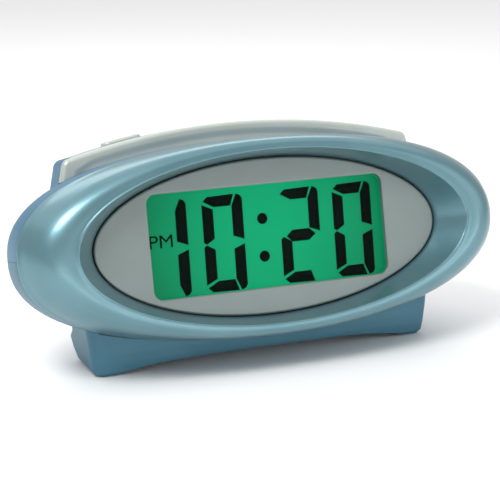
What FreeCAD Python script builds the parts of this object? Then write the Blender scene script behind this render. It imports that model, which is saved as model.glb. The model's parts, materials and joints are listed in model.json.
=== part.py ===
"""Battery alarm clock with an oval face: every piece is built in the face frame and then stood up.

Face frame: x to the right along the display, y up along its face, z out of it, zero at the centre of
the silver panel's front. stand_up() leans it back and lifts it on to the table. Millimetres.
"""
import FreeCAD, Part
import math
import os
from FreeCAD import Placement, Rotation, Vector

# ---- driving dimensions -------------------------------------------------------------------------
LEAN_DEG = 13.35           # the face leans back from upright
FACE_HEIGHT = 47.9         # centre of the face above the table
FACE_SETBACK = -15.77      # centre of the face in front of the middle of the footprint

WALL = 2.2                 # moulded shells
GAP = 0.1                  # between parts that meet
FIT = 0.05                 # radial clearance of a screw or key in its hole
OVAL_POINTS = 48

# ovals are (half width, half height, squareness, depth); squareness 2 is an ellipse
BEZEL_SKIN = [(95.0, 36.5, 2.32, -4.0), (93.9, 36.5, 2.27, -1.6), (92.6, 36.45, 2.22, 1.2),
              (91.0, 36.3, 2.16, 4.0), (89.0, 35.9, 2.10, 6.8), (86.2, 35.1, 2.05, 9.0),
              (82.0, 33.6, 2.02, 10.5), (75.9, 31.15, 2.0, 11.0)]
SHELL_SKIN = [(94.9, 36.3, 2.32, -4.1), (95.2, 36.45, 2.33, -10.0), (95.1, 36.4, 2.34, -15.0),
              (94.4, 36.0, 2.34, -19.5), (91.2, 34.6, 2.33, -25.0), (84.8, 31.6, 2.30, -31.5),
              (76.0, 28.2, 2.30, -37.0)]
REAR_SKIN = [(75.8, 28.1, 2.30, -37.1), (73.4, 27.2, 2.30, -40.2), (69.5, 25.6, 2.30, -43.4),
             (64.5, 23.6, 2.30, -45.5)]
RIDGE_A, RIDGE_B, RIDGE_W = 76.3, 31.3, 11.0      # crease between the bezel's band and its funnel
HOLE_A, HOLE_B = 68.6, 29.15                      # foot of the funnel
FUNNEL_WALL = 1.8
FUNNEL_FOOT_W = -1.8

PANEL_A, PANEL_B = 68.0, 28.63                    # silver display panel
PANEL_THICK = 1.8
FLANGE_A, FLANGE_B = 70.1, 30.6
FLANGE_THICK = 1.2
PANEL_BEVEL = 0.5
WINDOW_W, WINDOW_H, WINDOW_R = 94.0, 38.0, 3.5

LENS_THICK = 1.0
CELL_W, CELL_H, CELL_THICK = 96.0, 44.0, 2.0
CELL_FRONT = -3.2
SEGMENT_THICK = 0.12
GUIDE_H, GUIDE_THICK = 38.0, 3.0
HOLDER_WALL = 2.2
BOARD_W, BOARD_H, BOARD_THICK, BOARD_FRONT = 132.0, 46.0, 1.6, -10.6

DIGIT_H, DIGIT_W, STROKE = 35.4, 16.0, 4.3        # clock digits
DIGIT_V = -1.15
DIGIT_SLANT = 0.02                                # sideways lean per unit of height
DIGITS = [("1", -39.4), ("0", -17.35), ("2", 13.35), ("0", 35.2)]
COLON = [(-1.6, 6.4), (-1.95, -7.55)]
COLON_R = 2.05

CAP_RADIUS = 264.0                                # top edge of the silver cap, as an arc
CAP_TOP = 43.4
CAP_HALF_TOP, CAP_HALF_LOW = 70.2, 73.5
CAP_LOW = 20.0
CAP_CORNER = 3.2
CAP_FRONT, CAP_BACK = -20.5, -23.0
CAP_SKIN = 1.6
CAP_SKIN_HALF, CAP_SKIN_END = 66.0, -34.0
CAP_RIM, CAP_RECESS = 2.6, 0.9
HUMP_TAIL = [(0.0, 0.0, -33.8), (0.4, 0.4, -35.0), (1.4, 1.4, -36.1),
             (2.6, 2.6, -36.7)]                   # (drop of the top, drawn in at each end, depth)
HUMP_WALL = 1.8
HUMP_HOLLOW_END = -34.7

BUTTON_U, BUTTON_W = -44.9, -29.4                 # raised button on the cap
BUTTON_LONG, BUTTON_WIDE, BUTTON_PROUD = 15.6, 5.6, 1.2
BUTTON_TRAVEL = 0.8

STAND = [(66.6, 4.6, 25.6, 3.2, 0.4), (67.6, 3.8, 27.8, 3.4, 1.6), (68.2, 3.6, 31.6, 3.4, 5.0),
         (68.6, 3.6, 33.6, 3.4, 8.4), (69.1, 3.8, 29.3, 3.4, 12.0), (69.8, 4.0, 29.6, 4.0, 18.0),
         (70.3, 4.4, 26.0, 4.5, 22.0)]            # (half width, y, y, corner, z)
STAND_FLOOR = 6.4
ARCH = [(60.0, 0.0), (51.0, 1.8), (39.0, 2.95), (20.0, 3.45), (0.0, 3.55)]   # (half span, rise)
PAD_R, PAD_U, PAD_YS = 3.8, 57.5, (10.4, 20.6)
PAD_SUNK = 1.0

SCREW_R, SCREW_HEAD_R, SCREW_HEAD = 1.45, 2.8, 2.0
BOARD_POST_U, BOARD_POST_V, BOARD_POST_R = 61.2, 19.6, 2.8
CASE_POST_U, CASE_POST_V, CASE_POST_R = 78.5, 9.0, 3.8
REAR_POST_U, REAR_POST_V, REAR_POST_R = 33.5, 17.2, 3.2

REAR_FACE, REAR_INNER = -45.5, -43.5
CELL_R, CELL_LONG, NUB_R, NUB_LONG = 7.1, 49.2, 2.6, 1.3   # size AA
CELL_V, CELL_DEPTH, SPRING_WIDE = 7.5, -36.4, 5.0
BAY_HALF_U, BAY_HALF_V, BAY_WALL, BAY_FLOOR = 28.4, 15.4, 1.5, -27.6
DOOR_LEDGE = 1.0

KEY_R, KEY_FLANGE_R, KEY_PROUD, KEY_TRAVEL = 2.9, 3.7, 1.3, 0.7
KEY_PLACES = {"hour_key": (40.0, 7.0), "minute_key": (50.0, 7.0),
              "time_key": (40.0, -5.0), "alarm_key": (50.0, -5.0)}
KEY_BOARD_FRONT = -36.6
SLIDER_U, SLIDER_V, SLIDER_TRAVEL = -46.0, 11.2, 4.0
SOUNDER_U, SOUNDER_V, SOUNDER_R = -44.6, -4.2, 7.8

# ---- worked out from them -----------------------------------------------------------------------
LEAN = math.radians(LEAN_DEG)
ACROSS, UP, OUT = Vector(1, 0, 0), Vector(0, 1, 0), Vector(0, 0, 1)
ARC_CENTRE_V = CAP_TOP - CAP_RADIUS
BUTTON_TILT = math.asin(-BUTTON_U / CAP_RADIUS)
BUTTON_V = ARC_CENTRE_V + CAP_RADIUS * math.cos(BUTTON_TILT)
SEGMENT_FRONT = CELL_FRONT + SEGMENT_THICK
GUIDE_FRONT = CELL_FRONT - CELL_THICK - GAP
BOARD_BACK = BOARD_FRONT - BOARD_THICK
KEY_FLANGE_TOP = REAR_INNER + GAP + 1.2
SWITCH_TIP = KEY_FLANGE_TOP + KEY_TRAVEL + GAP


# ---- helpers ------------------------------------------------------------------------------------
def oval_wire(half_w, half_h, squareness, depth):
    """A closed smooth curve between an ellipse and a rounded rectangle."""
    points = []
    for i in range(OVAL_POINTS):
        s = 2 * math.pi * i / OVAL_POINTS
        c, d = math.cos(s), math.sin(s)
        k = (abs(c) ** squareness + abs(d) ** squareness) ** (-1 / squareness)
        points.append(Vector(half_w * k * c, half_h * k * d, depth))
    curve = Part.BSplineCurve()
    curve.interpolate(Points=points, PeriodicFlag=True)
    return Part.Wire(curve.toShape())


def oval_solid(sections, ruled=False):
    return Part.makeLoft([oval_wire(*section) for section in sections], True, ruled)


def inset(sections, wall, first=0.0, last=0.0):
    """The same skin moved in by the wall, its ends shifted so that it can cut right through."""
    moved = [[a - wall, b - wall, n, w] for a, b, n, w in sections]
    moved[0][3] += first
    moved[-1][3] += last
    return moved


def slab(u0, u1, v0, v1, w0, w1):
    return Part.makeBox(u1 - u0, v1 - v0, w1 - w0, Vector(u0, v0, w0))


def block(centre_u, centre_v, wide, high, w0, w1):
    return slab(centre_u - wide / 2, centre_u + wide / 2, centre_v - high / 2, centre_v + high / 2, w0, w1)


def rod(u, v, radius, w0, w1):
    return Part.makeCylinder(radius, w1 - w0, Vector(u, v, w0), OUT)


def round_rect(centre_u, centre_v, wide, high, radius, w0, w1):
    body = block(centre_u, centre_v, wide, high, w0, w1)
    upright = [e for e in body.Edges if abs(e.tangentAt(0).z) > 0.9]
    return body.makeFillet(radius, upright)


def four(u, v):
    return [(su * u, sv * v) for su in (-1, 1) for sv in (-1, 1)]


def joined(shapes):
    body = shapes[0]
    for shape in shapes[1:]:
        body = body.fuse(shape)
    return body


def group(shapes):
    return Part.makeCompound(shapes)


def stand_up(shape):
    """From the face frame to the table: lean back, then lift."""
    turned = shape.copy()
    turn = Rotation(ACROSS, 90 - LEAN_DEG)
    turned.Placement = Placement(Vector(0, FACE_SETBACK, FACE_HEIGHT), turn).multiply(turned.Placement)
    return turned


def lie_down(shape):
    """From the table's frame back to the face frame."""
    turned = shape.copy()
    turn = Placement(Vector(0, FACE_SETBACK, FACE_HEIGHT), Rotation(ACROSS, 90 - LEAN_DEG))
    turned.Placement = turn.inverse().multiply(turned.Placement)
    return turned


# ---- front --------------------------------------------------------------------------------------
def funnel(extra, w_high, w_low):
    """The cone from the ridge to the panel's hole, grown by extra, with a straight foot."""
    slope_a = (RIDGE_A - HOLE_A) / RIDGE_W
    slope_b = (RIDGE_B - HOLE_B) / RIDGE_W
    sections = [(HOLE_A + extra + slope_a * w_high, HOLE_B + extra + slope_b * w_high, 2.0, w_high),
                (HOLE_A + extra, HOLE_B + extra, 2.0, 0.0),
                (HOLE_A + extra, HOLE_B + extra, 2.0, w_low)]
    return oval_solid(sections, ruled=True)


def front_bezel():
    skin = oval_solid(BEZEL_SKIN)
    hollow_sections = [[a - WALL, b - WALL, n, w - WALL * i / 6] for i, (a, b, n, w) in enumerate(BEZEL_SKIN)]
    hollow_sections[0][3] = BEZEL_SKIN[0][3] - 1.0
    hollow = oval_solid(hollow_sections).cut(funnel(FUNNEL_WALL, RIDGE_W, FUNNEL_FOOT_W))
    posts = [rod(u, v, BOARD_POST_R, BOARD_FRONT + GAP, 6.0) for u, v in four(BOARD_POST_U, BOARD_POST_V)]
    posts += [rod(u, v, CASE_POST_R, -10.9, 7.0) for u, v in four(CASE_POST_U, CASE_POST_V)]
    inside = oval_solid([(93.0, 35.6, 2.4, -20.0), (92.0, 35.6, 2.4, -1.0), (84.6, 33.6, 2.2, 7.0)])
    body = joined([skin.cut(hollow)] + [post.common(inside) for post in posts])
    pilots = [rod(u, v, SCREW_R + FIT, BOARD_FRONT - 1, -2.0) for u, v in four(BOARD_POST_U, BOARD_POST_V)]
    pilots += [rod(u, v, SCREW_R + FIT, -12.0, -3.0) for u, v in four(CASE_POST_U, CASE_POST_V)]
    return body.cut(group([funnel(0.0, RIDGE_W + 1, FUNNEL_FOOT_W - 1)] + pilots))


def display_panel():
    face = oval_solid([(PANEL_A, PANEL_B, 2.0, -PANEL_THICK), (PANEL_A, PANEL_B, 2.0, -PANEL_BEVEL),
                       (PANEL_A - PANEL_BEVEL, PANEL_B - PANEL_BEVEL, 2.0, 0.0)], ruled=True)
    flange_back = -PANEL_THICK - FLANGE_THICK
    flange = oval_solid([(FLANGE_A, FLANGE_B, 2.0, flange_back),
                         (FLANGE_A, FLANGE_B, 2.0, -PANEL_THICK - GAP)],
                        ruled=True)
    neck = oval_solid([(PANEL_A, PANEL_B, 2.0, flange_back), (PANEL_A, PANEL_B, 2.0, -PANEL_THICK)],
                      ruled=True)
    window = round_rect(0, 0, WINDOW_W, WINDOW_H, WINDOW_R, flange_back - 1, 1.0)
    seat = block(0, 0, WINDOW_W + 2.6, WINDOW_H + 2.2, flange_back - 1, -PANEL_THICK)
    return joined([face, neck, flange]).cut(window).cut(seat)


def display_lens():
    return block(0, 0, WINDOW_W + 2.4, WINDOW_H + 2.0, -PANEL_THICK - GAP / 2 - LENS_THICK,
                 -PANEL_THICK - GAP / 2)


def bar(points):
    """One flat display segment from its outline."""
    loop = [Vector(u, v, CELL_FRONT) for u, v in points]
    return Part.Face(Part.makePolygon(loop + loop[:1])).extrude(Vector(0, 0, SEGMENT_THICK))


def segment_outlines():
    """The seven segments of one upright digit, centred, with slanting ends that leave thin gaps."""
    x, y, s = DIGIT_W / 2, DIGIT_H / 2, STROKE
    right = [(x, 0.8), (x, y - 1.8), (x - 0.8, y - 0.6), (x - 2.3, y), (x - s, y - s), (x - s, 2.4)]
    left = [(-x, y - 3.0), (-x, 0.9), (1.1 - x, 0.1), (s - x, 2.0), (s - x, y - s - 0.7)]
    top = [(0.5 - x, y - 1.9), (2.3 - x, y - 0.3), (x - 3.3, y), (x - s - 0.5, y - s + 0.1),
           (s + 0.4 - x, y - s + 0.1)]
    middle = [(2.2 - x, 0), (s + 0.4 - x, 2.2), (x - s - 0.2, 2.2), (x - 1.9, 0), (x - s - 0.4, -2.2),
              (s + 0.2 - x, -2.2)]
    return {"a": top, "b": right, "c": [(u, -v) for u, v in right], "d": [(u, -v) for u, v in top],
            "e": [(u, -v) for u, v in left], "f": left, "g": middle}


def lcd_segments():
    lit = {"0": "abcdef", "1": "bc", "2": "abged"}
    outlines = segment_outlines()
    bars = []
    for digit, centre in DIGITS:
        for name in lit[digit]:
            bars.append(bar([(centre + u + DIGIT_SLANT * v, DIGIT_V + v) for u, v in outlines[name]]))
    bars += [rod(u, v, COLON_R, CELL_FRONT, SEGMENT_FRONT) for u, v in COLON]
    return group(bars)


def lcd_cell():
    return block(0, 0, CELL_W, CELL_H, CELL_FRONT - CELL_THICK, CELL_FRONT)


def lcd_holder():
    wide, high = CELL_W + 9.0, CELL_H + 0.6
    outer = block(0, 0, wide + 2 * HOLDER_WALL, high + 2 * HOLDER_WALL, BOARD_FRONT + GAP,
                  CELL_FRONT - 0.6)
    return outer.cut(block(0, 0, wide, high, BOARD_FRONT - 1, 0))


def backlight_guide():
    return block(0, 0, CELL_W, GUIDE_H, GUIDE_FRONT - GUIDE_THICK, GUIDE_FRONT)


def backlight_leds():
    out = CELL_W / 2 + 2.0
    return group([block(side * out, 0, 3.0, 5.0, BOARD_FRONT + GAP / 2, GUIDE_FRONT - 0.3)
                  for side in (-1, 1)])


def zebra_strips():
    middle = (CELL_H + GUIDE_H) / 4
    return group([block(0, side * middle, CELL_W - 4, 2.0, BOARD_FRONT + GAP / 2,
                        CELL_FRONT - CELL_THICK - GAP / 2) for side in (-1, 1)])


def main_board():
    board = round_rect(0, 0, BOARD_W, BOARD_H, 3.0, BOARD_BACK, BOARD_FRONT)
    holes = [rod(u, v, SCREW_R + FIT, BOARD_BACK - 1, BOARD_FRONT + 1)
             for u, v in four(BOARD_POST_U, BOARD_POST_V)]
    return board.cut(group(holes))


def controller_chip():
    blob = Part.makeSphere(12.0, Vector(-6, 2, BOARD_BACK - GAP / 2 + 10.0))
    return blob.common(slab(-30, 30, -30, 30, BOARD_BACK - 5, BOARD_BACK - GAP / 2))


def quartz_crystal():
    return Part.makeCylinder(1.5, 8.0, Vector(6, 2, BOARD_BACK - 1.6), ACROSS)


def capacitors():
    return group([rod(u, -9.0, 2.5, BOARD_BACK - 7.0, BOARD_BACK - GAP / 2) for u in (-22.0, -15.0, 22.0)])


def pan_screw(u, v, head_seat, length):
    """A screw that points out of the face: head behind, shank in front of its seat."""
    head = rod(u, v, SCREW_HEAD_R, head_seat - SCREW_HEAD, head_seat)
    slot = block(u, v, SCREW_HEAD_R * 1.3, 0.6, head_seat - SCREW_HEAD - 1, head_seat - SCREW_HEAD + 0.9)
    cross = block(u, v, 0.6, SCREW_HEAD_R * 1.3, head_seat - SCREW_HEAD - 1, head_seat - SCREW_HEAD + 0.9)
    return head.fuse(rod(u, v, SCREW_R, head_seat, head_seat + length)).cut(slot).cut(cross)


def board_screws():
    return group([pan_screw(u, v, BOARD_BACK - GAP / 4, 9.0) for u, v in four(BOARD_POST_U, BOARD_POST_V)])


# ---- cap and case -------------------------------------------------------------------------------
def cap_wire(shrink, drop, narrow, depth):
    """Outline of the raised top: upright ends, round corners and one long arc."""
    radius = CAP_RADIUS - shrink
    top_half, low_half = CAP_HALF_TOP - shrink - narrow, CAP_HALF_LOW - shrink - narrow
    turn = math.asin((top_half - CAP_CORNER) / radius)
    shoulder = Vector((top_half - CAP_CORNER), ARC_CENTRE_V - drop + radius * math.cos(turn), depth)
    wall = Vector(top_half + 0.35, shoulder.y - CAP_CORNER, depth)
    bend = Vector(top_half - CAP_CORNER * 0.22, shoulder.y - CAP_CORNER * 0.32, depth)
    foot = Vector(low_half, CAP_LOW - drop * 0.6, depth)
    crown = Vector(0, ARC_CENTRE_V - drop + radius, depth)
    left = [Vector(-p.x, p.y, p.z) for p in (foot, wall, bend, shoulder)]
    return Part.Wire([Part.makeLine(left[0], left[1]), Part.Arc(left[1], left[2], left[3]).toShape(),
                      Part.Arc(left[3], crown, shoulder).toShape(), Part.Arc(shoulder, bend, wall).toShape(),
                      Part.makeLine(wall, foot), Part.makeLine(foot, left[0])])


def cap_block(shrink, front, back):
    return Part.Face(cap_wire(shrink, 0.0, 0.0, back)).extrude(Vector(0, 0, front - back))


def hump():
    """The raised bar across the top, its back edges rounded."""
    tail = [cap_wire(0.0, *section) for section in HUMP_TAIL]
    return cap_block(0.0, CAP_BACK - GAP, HUMP_TAIL[0][2]).fuse(Part.makeLoft(tail, True, True))


def skin_strip(grow):
    """The strip of the hump's top that the silver cap fills."""
    ring = rod(0, ARC_CENTRE_V, CAP_RADIUS + 3, CAP_SKIN_END - grow, CAP_BACK + grow)
    ring = ring.cut(rod(0, ARC_CENTRE_V, CAP_RADIUS - CAP_SKIN - grow, CAP_SKIN_END - 1, CAP_BACK + 1))
    half = CAP_SKIN_HALF + grow
    return ring.common(slab(-half, half, 0, 60, CAP_SKIN_END - 2, CAP_BACK + 2))


def button_frame(shape):
    """Moves a shape from the raised button's own upright frame to its place on the arc."""
    placed = shape.copy()
    turn = Rotation(OUT, math.degrees(BUTTON_TILT))
    placed.Placement = Placement(Vector(BUTTON_U, BUTTON_V, BUTTON_W), turn).multiply(placed.Placement)
    return placed


def stadium(long, wide, v0, v1):
    body = slab(-long / 2, long / 2, v0, v1, -wide / 2, wide / 2)
    upright = [e for e in body.Edges if abs(e.tangentAt(0).y) > 0.9]
    return body.makeFillet(wide / 2 - 0.01, upright)


def button_slot():
    return button_frame(stadium(BUTTON_LONG + 0.4, BUTTON_WIDE + 0.4, -12.0, 4.0))


def top_cap():
    front = cap_block(0.0, CAP_FRONT, CAP_BACK)
    front = front.cut(cap_block(CAP_RIM, CAP_FRONT + 1, CAP_FRONT - CAP_RECESS))
    front = front.cut(oval_solid(inset(SHELL_SKIN, -0.15, 1.0)))
    top = skin_strip(0.0).common(cap_block(0.0, CAP_FRONT, CAP_SKIN_END - 1))
    return joined([front, top]).cut(button_slot())


def snooze_button():
    body = stadium(BUTTON_LONG, BUTTON_WIDE, -6.0, BUTTON_PROUD)
    flange = slab(-BUTTON_LONG / 2 - 1.2, BUTTON_LONG / 2 + 1.2, -6.0, -4.9, -BUTTON_WIDE / 2 - 1.0,
                  BUTTON_WIDE / 2 + 0.2)
    return button_frame(joined([body, flange]))


def snooze_switch():
    body = slab(-3.0, 3.0, -11.0, -7.9, -2.9, 2.9)
    plunger = Part.makeCylinder(1.7, 1.0, Vector(0, -7.9, 0), UP)
    return button_frame(joined([body, plunger]))


def snooze_board():
    return button_frame(slab(-9.5, 7.4, -12.7, -11.1, -3.9, 2.9))


def board_shelves():
    """Two ribs across the hump's hollow that carry the snooze switch's board."""
    depths = (HUMP_HOLLOW_END - 1 - BUTTON_W, CAP_BACK - 1 - BUTTON_W)
    return [button_frame(slab(middle - 1.0, middle + 1.0, -14.5, -12.7 - GAP / 2, *depths))
            for middle in (-8.0, 6.0)]


def screw_tubes(places):
    """Tubes for the long case screws: a seat near the front and a deep well open to the back."""
    tubes = [rod(u, v, CASE_POST_R + 1.4, -40.0, -11.0) for u, v in places]
    wells = [rod(u, v, SCREW_HEAD_R + 0.4, -60.0, -14.0) for u, v in places]
    wells += [rod(u, v, SCREW_R + FIT, -60.0, 0.0) for u, v in places]
    return tubes, wells


def rear_posts(places):
    """Posts on short ribs that the rear cover screws into."""
    posts, pilots = [], []
    for u, v in places:
        side = 1 if v > 0 else -1
        posts.append(rod(u, v, REAR_POST_R, -37.0, -27.0))
        low, high = sorted((v, v + side * 14.0))
        posts.append(slab(u - 1.2, u + 1.2, low, high, -37.0, -27.0))
        pilots.append(rod(u, v, SCREW_R + FIT, -40.0, -29.0))
    return posts, pilots


def half_shell(side, extra_outer, extra_inner):
    """One half of the case, above (side 1) or below (side -1) the parting line."""
    outer = oval_solid(SHELL_SKIN)
    inner = oval_solid(inset(SHELL_SKIN, WALL, 1.0, -1.0))
    places = [(u, side * CASE_POST_V) for u in (-CASE_POST_U, CASE_POST_U)]
    rear_places = [(u, side * REAR_POST_V) for u in (-REAR_POST_U, REAR_POST_U)]
    tubes, wells = screw_tubes(places)
    posts, pilots = rear_posts(rear_places)
    full = joined([outer] + extra_outer)
    walls = full.cut(inner)
    for cutter in extra_inner:
        walls = walls.cut(cutter)
    kept = joined([walls] + [piece.common(outer) for piece in tubes + posts])
    half = slab(-120, 120, 0.05, 80, -60, 10) if side > 0 else slab(-120, 120, -90, -0.05, -80, 10)
    return kept.cut(group(wells + pilots)).common(half)


def upper_shell():
    hollow = cap_block(WALL + CAP_SKIN, CAP_BACK - HUMP_WALL, HUMP_HOLLOW_END)
    top = half_shell(1, [hump()], [hollow])
    top = top.cut(skin_strip(GAP / 2)).cut(button_slot())
    return joined([top] + [shelf.common(hump()) for shelf in board_shelves()])


def rounded_plan(half, y0, y1, corner, z):
    """A rounded rectangle on the table's plan, as a wire of lines and arcs."""
    k = corner * (1 - math.sqrt(0.5))
    corners = [(half, y0, -1, 1), (half, y1, -1, -1), (-half, y1, 1, -1), (-half, y0, 1, 1)]
    edges, ends = [], []
    for i, (x, y, dx, dy) in enumerate(corners):
        a, b = Vector(x, y + dy * corner, z), Vector(x + dx * corner, y, z)
        start, stop = (b, a) if i % 2 == 0 else (a, b)
        edges.append(Part.Arc(start, Vector(x + dx * k, y + dy * k, z), stop).toShape())
        ends.append((start, stop))
    lines = [Part.makeLine(ends[i][1], ends[(i + 1) % 4][0]) for i in range(4)]
    ordered = [piece for pair in zip(edges, lines) for piece in pair]
    return Part.Wire(ordered)


def stand_solid(shrink):
    sections = [(half - shrink, y0 + shrink, y1 - shrink, corner - shrink, z)
                for half, y0, y1, corner, z in STAND]
    if shrink:
        sections = [section for section in sections if section[4] > STAND_FLOOR]
        half, y0, y1, corner, z = sections[0]
        sections.insert(0, (half - 3.5, y0, y1 + 1.0, corner, STAND_FLOOR))
    moved = [(h, y0 + FACE_SETBACK, y1 + FACE_SETBACK, corner, z) for h, y0, y1, corner, z in sections]
    return Part.makeLoft([rounded_plan(*section) for section in moved], True, True)


def arch():
    """The long low arch under the stand, right through from front to back."""
    base = STAND[0][4]
    right = [Vector(half, -60, base + rise) for half, rise in ARCH]
    points = [Vector(-p.x, p.y, p.z) for p in right[:-1]] + right[::-1]
    curve = Part.BSplineCurve()
    curve.interpolate(Points=points)
    lows = [Vector(ARCH[0][0], -60, base - 5), Vector(-ARCH[0][0], -60, base - 5)]
    rim = Part.Wire([curve.toShape(), Part.makeLine(points[-1], lows[0]), Part.makeLine(lows[0], lows[1]),
                     Part.makeLine(lows[1], points[0])])
    return Part.Face(rim).extrude(Vector(0, 120, 0))


def pad_places():
    return [(side * PAD_U, FACE_SETBACK + y) for side in (-1, 1) for y in PAD_YS]


def pad_solids(grow):
    top = STAND[0][4] + PAD_SUNK + grow
    return [Part.makeCylinder(PAD_R + grow, top, Vector(x, y, 0)) for x, y in pad_places()]


def lower_shell():
    stand = stand_solid(0.0).cut(arch()).cut(group(pad_solids(GAP / 2)))
    bottom = half_shell(-1, [lie_down(stand)], [lie_down(stand_solid(WALL))])
    return bottom


def case_screws():
    return group([pan_screw(u, v, -14.0 - GAP / 4, 10.0) for u, v in four(CASE_POST_U, CASE_POST_V)])


# ---- rear cover, batteries, keys ----------------------------------------------------------------
def rear_cover():
    outer = oval_solid(REAR_SKIN)
    inner_sections = inset(REAR_SKIN, WALL, 1.0)
    inner_sections[-1][3] = REAR_INNER
    inner_sections[-2][3] = REAR_INNER + 1.2
    body = outer.cut(oval_solid(inner_sections))
    bay_u, bay_v = BAY_HALF_U + BAY_WALL, BAY_HALF_V + BAY_WALL
    bay = slab(-bay_u, bay_u, -bay_v, bay_v, REAR_INNER - 1, BAY_FLOOR)
    collars = [rod(u, v, REAR_POST_R, REAR_INNER - 1, -37.3) for u, v in four(REAR_POST_U, REAR_POST_V)]
    cup = rod(SOUNDER_U, SOUNDER_V, SOUNDER_R + 1.2, REAR_INNER - 1, -40.4)
    cup = cup.cut(rod(SOUNDER_U, SOUNDER_V, SOUNDER_R + FIT, REAR_INNER, -40.0))
    key_posts = [rod(45.0, v, 2.2, REAR_INNER - 1, KEY_BOARD_FRONT - 1.25) for v in (-12.2, 13.2)]
    body = joined([body, bay] + collars + [cup] + key_posts)
    cuts = [slab(-BAY_HALF_U, BAY_HALF_U, -BAY_HALF_V, BAY_HALF_V, -60, BAY_FLOOR - BAY_WALL),
            round_rect(0, 0, 2 * (BAY_HALF_U + DOOR_LEDGE), 2 * (BAY_HALF_V + DOOR_LEDGE), 2.0, -60,
                       REAR_INNER)]
    cuts += [rod(u, v, SCREW_HEAD_R + 0.2, -60, -41.5) for u, v in four(REAR_POST_U, REAR_POST_V)]
    cuts += [rod(u, v, SCREW_R + FIT, -60, -30) for u, v in four(REAR_POST_U, REAR_POST_V)]
    cuts += [rod(u, v, KEY_R + 0.08, -60, REAR_INNER + 1) for u, v in KEY_PLACES.values()]
    cuts += [rod(45.0, v, 1.0, KEY_BOARD_FRONT - 6, -30) for v in (-12.2, 13.2)]
    cuts += [block(SLIDER_U + SLIDER_TRAVEL / 2, SLIDER_V, 8.2, 2.8, -60, REAR_INNER + 1)]
    cuts += [rod(SOUNDER_U, SOUNDER_V, 0.8, -60, REAR_INNER + 1)]
    cuts += [rod(SOUNDER_U + 3.4 * math.cos(k * math.pi / 3), SOUNDER_V + 3.4 * math.sin(k * math.pi / 3), 0.8,
                 -60, REAR_INNER + 1) for k in range(6)]
    return body.cut(group(cuts[:2])).cut(group(cuts[2:]))


def rear_screws():
    return group([pan_screw(u, v, -41.5 - GAP / 4, 11.0) for u, v in four(REAR_POST_U, REAR_POST_V)])


def battery_door():
    wide, high = 2 * (BAY_HALF_U + DOOR_LEDGE - 0.2), 2 * (BAY_HALF_V + DOOR_LEDGE - 0.2)
    plate = round_rect(0, 0, wide, high, 1.8, REAR_FACE, REAR_INNER - GAP)
    grooves = [block(0, 8.0 + 1.6 * i, 16.0, 0.7, REAR_FACE - 1, REAR_FACE + 0.5) for i in range(4)]
    return plate.cut(group(grooves))


def battery_cells():
    cells = []
    for side in (-1, 1):
        v = side * CELL_V
        start = -CELL_LONG / 2 - side * 0.6
        can = Part.makeCylinder(CELL_R, CELL_LONG, Vector(start, v, CELL_DEPTH), ACROSS)
        nub_at = start + CELL_LONG if side > 0 else start - NUB_LONG
        cells.append(can.fuse(Part.makeCylinder(NUB_R, NUB_LONG, Vector(nub_at, v, CELL_DEPTH), ACROSS)))
    return group(cells)


def battery_springs():
    """Bent leaf springs between the contact plates and the flat ends of the cells."""
    leaves = []
    for side in (-1, 1):
        plate = side * (BAY_HALF_U - 0.55)
        profile = [(0.0, -3.8), (0.3, -3.8), (2.4, -0.9), (2.4, 0.9), (0.3, 3.8), (0.0, 3.8), (2.1, 0.7),
                   (2.1, -0.7)]
        loop = [Vector(-plate + side * x, side * CELL_V - SPRING_WIDE / 2, CELL_DEPTH + w) for x, w in profile]
        leaves.append(Part.Face(Part.makePolygon(loop + loop[:1])).extrude(Vector(0, SPRING_WIDE, 0)))
    return group(leaves)


def battery_contacts():
    plates = []
    for side in (-1, 1):
        u = side * (BAY_HALF_U - 0.3)
        for v in (-CELL_V, CELL_V):
            plates.append(block(u, v, 0.4, 10.0, -41.0, -31.5))
    return group(plates)


def leads(places, w0, w1):
    return group([rod(u, v, 0.6, w0, w1) for u, v in places])


def piezo_sounder():
    return rod(SOUNDER_U, SOUNDER_V, SOUNDER_R, REAR_INNER + GAP, -39.6)


def key_board():
    board = slab(36.0, 55.0, -14.0, 15.4, KEY_BOARD_FRONT - 1.2, KEY_BOARD_FRONT)
    return board.cut(group([rod(45.0, v, 1.05, -60, -30) for v in (-12.2, 13.2)]))


def key_switches():
    bodies = []
    for u, v in KEY_PLACES.values():
        case = block(u, v, 6.0, 6.0, SWITCH_TIP + 0.6, KEY_BOARD_FRONT - 1.2 - GAP / 2)
        bodies.append(case.fuse(rod(u, v, 1.7, SWITCH_TIP, SWITCH_TIP + 0.6)))
    return group(bodies)


def key_board_screws():
    screws = []
    for v in (-12.2, 13.2):
        head = rod(45.0, v, 1.9, KEY_BOARD_FRONT + GAP / 4, KEY_BOARD_FRONT + 1.5)
        screws.append(head.fuse(rod(45.0, v, 0.95, KEY_BOARD_FRONT - 6, KEY_BOARD_FRONT + GAP / 4)))
    return group(screws)


def rear_key(u, v):
    cap = rod(u, v, KEY_R, REAR_FACE - KEY_PROUD, KEY_FLANGE_TOP)
    cap = cap.makeChamfer(0.4, [e for e in cap.Edges if abs(e.BoundBox.ZMax - REAR_FACE + KEY_PROUD) < 0.01
                                and e.BoundBox.XLength > 1])
    return cap.fuse(rod(u, v, KEY_FLANGE_R, REAR_INNER + GAP, KEY_FLANGE_TOP))


def alarm_slider():
    knob = block(SLIDER_U, SLIDER_V, 3.6, 2.6, REAR_FACE - 1.2, REAR_INNER + GAP)
    base = block(SLIDER_U, SLIDER_V, 5.0, 4.2, REAR_INNER + GAP, REAR_INNER + 1.2)
    ribs = [block(SLIDER_U + k, SLIDER_V, 0.4, 4.0, REAR_FACE - 2, REAR_FACE - 0.8) for k in (-1.0, 0.0, 1.0)]
    return joined([knob, base]).cut(group(ribs))


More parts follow.
